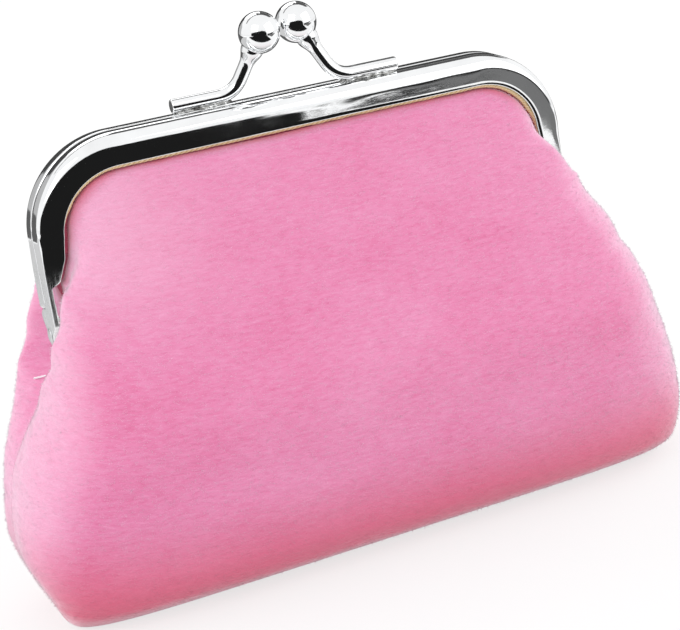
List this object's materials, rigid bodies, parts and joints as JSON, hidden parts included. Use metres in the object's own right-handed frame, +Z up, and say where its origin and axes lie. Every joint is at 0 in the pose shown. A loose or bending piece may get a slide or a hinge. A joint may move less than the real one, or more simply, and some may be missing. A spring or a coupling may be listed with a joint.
{
  "type": "kiss-lock coin purse",
  "caption": "Small plush coin purse in a hinged chromed channel frame that snaps shut by two crossing ball-ended clasp legs.",
  "frame": {"origin": "on the table, under the middle of the purse's box", "axes": "+X along the purse's width, to the right as seen from the front; +Y from the front to the rear; +Z up, from the base to the clasp"},
  "size_m": [0.1084, 0.0406, 0.0793],
  "materials": {
    "chromed_steel": "bright nickel-chrome plating on pressed steel sheet and rod",
    "plush": "short-pile pink plush, pale at grazing angles",
    "lining": "plain pale pink satin",
    "paper_cord": "twisted tan kraft paper",
    "thread": "white sewing thread"
  },
  "bodies": {
    "pouch": {"front_panel": "plush", "rear_panel": "plush", "front_lining": "lining", "rear_lining": "lining", "seam_thread": "thread"},
    "front_half": {"front_frame": "chromed_steel", "front_clasp_leg": "chromed_steel", "front_clasp_ball": "chromed_steel", "front_paper_cord": "paper_cord"},
    "rear_half": {"rear_frame": "chromed_steel", "rear_clasp_leg": "chromed_steel", "rear_clasp_ball": "chromed_steel", "rear_paper_cord": "paper_cord", "right_hinge_rivet": "chromed_steel", "left_hinge_rivet": "chromed_steel"}
  },
  "joints": [
    {"name": "front_hinge", "type": "hinge", "parent": "pouch", "child": "front_half", "pos_m": [0, 0.0068, 0.0385], "axis": [1, 0, 0], "range_deg": [0, 50], "deforming": ["front_panel", "front_lining"]},
    {"name": "rear_hinge", "type": "hinge", "parent": "pouch", "child": "rear_half", "pos_m": [0, 0.0068, 0.0385], "axis": [1, 0, 0], "range_deg": [-50, 0], "deforming": ["rear_panel", "rear_lining"]}
  ],
  "couplings": [
    {"joint": "rear_hinge", "follows": "front_hinge", "ratio": -1}
  ]
}
